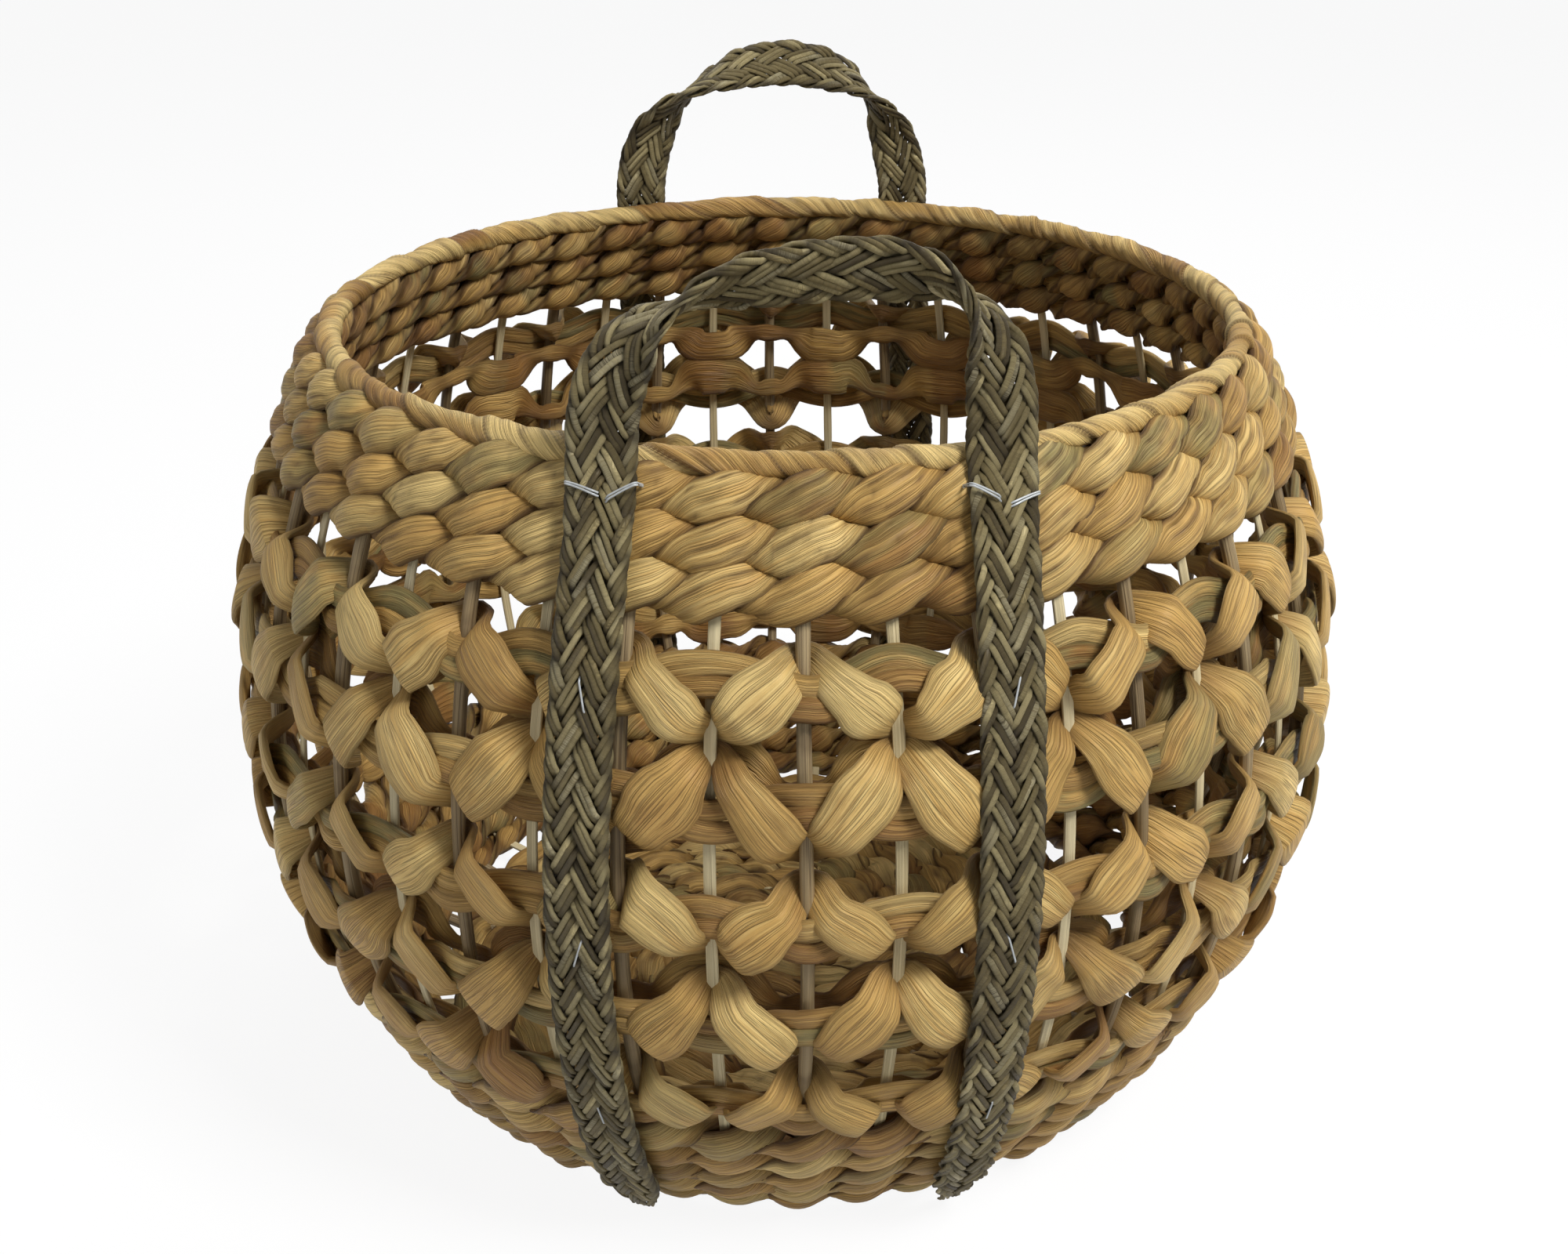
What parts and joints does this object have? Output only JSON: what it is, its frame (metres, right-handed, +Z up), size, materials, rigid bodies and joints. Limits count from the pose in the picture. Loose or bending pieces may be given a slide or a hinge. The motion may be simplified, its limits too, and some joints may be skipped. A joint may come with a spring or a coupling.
{
  "type": "round openwork basket",
  "caption": "Round bellied basket of water hyacinth woven in open flower rows over upright stakes, with a wrapped rim and plaited strap handles.",
  "frame": {"origin": "middle of the flat underside, on the axis of the basket", "axes": "+Z is up through the mouth, -Y is the side with the front handle, +X is to the right of someone who looks at the front"},
  "size_m": [0.4436, 0.4426, 0.386],
  "materials": {
    "fibre": "dry twisted water hyacinth, tan, with lighter ridges and brown folds",
    "seagrass": "plaited seagrass, grey olive, matt",
    "bamboo": "split bamboo, pale, smooth",
    "rattan": "round cane, grey brown, matt",
    "nylon": "clear nylon line"
  },
  "bodies": {
    "root": {"round_stakes": "rattan", "flat_stakes": "bamboo", "rim_hoop": "rattan", "rim_wrap": "fibre", "top_row_1_first_ply": "fibre", "top_row_1_second_ply": "fibre", "top_row_2_first_ply": "fibre", "top_row_2_second_ply": "fibre", "top_row_3_first_ply": "fibre", "top_row_3_second_ply": "fibre", "openwork_bar_1": "fibre", "openwork_bar_2": "fibre", "openwork_bar_3": "fibre", "openwork_bar_4": "fibre", "openwork_bar_5": "fibre", "openwork_petals_1": "fibre", "openwork_petals_2": "fibre", "openwork_petals_3": "fibre", "openwork_petals_4": "fibre", "openwork_petals_5": "fibre", "foot_row_1": "fibre", "foot_row_2": "fibre", "foot_row_3": "fibre", "foot_row_4": "fibre", "foot_row_5": "fibre", "floor_under_weave": "fibre", "floor_top_weave": "fibre", "front_handle_left_leg": "seagrass", "front_handle_right_leg": "seagrass", "back_handle_left_leg": "seagrass", "back_handle_right_leg": "seagrass", "front_left_tie": "nylon", "front_right_tie": "nylon", "back_left_tie": "nylon", "back_right_tie": "nylon", "front_left_stitch_1": "nylon", "front_left_stitch_2": "nylon", "front_left_stitch_3": "nylon", "front_right_stitch_1": "nylon", "front_right_stitch_2": "nylon", "front_right_stitch_3": "nylon", "back_left_stitch_1": "nylon", "back_left_stitch_2": "nylon", "back_left_stitch_3": "nylon", "back_right_stitch_1": "nylon", "back_right_stitch_2": "nylon", "back_right_stitch_3": "nylon"},
    "front_handle": {"front_handle_loop": "seagrass"},
    "back_handle": {"back_handle_loop": "seagrass"}
  },
  "joints": [
    {"name": "front_handle_fold", "type": "hinge", "parent": "root", "child": "front_handle", "pos_m": [0, -0.1717, 0.31555], "axis": [1, 0, 0], "range_deg": [-80, 80], "stiffness_Nm_per_rad": 0.15},
    {"name": "back_handle_fold", "type": "hinge", "parent": "root", "child": "back_handle", "pos_m": [0, 0.1717, 0.31555], "axis": [-1, 0, 0], "range_deg": [-80, 80], "stiffness_Nm_per_rad": 0.15}
  ]
}
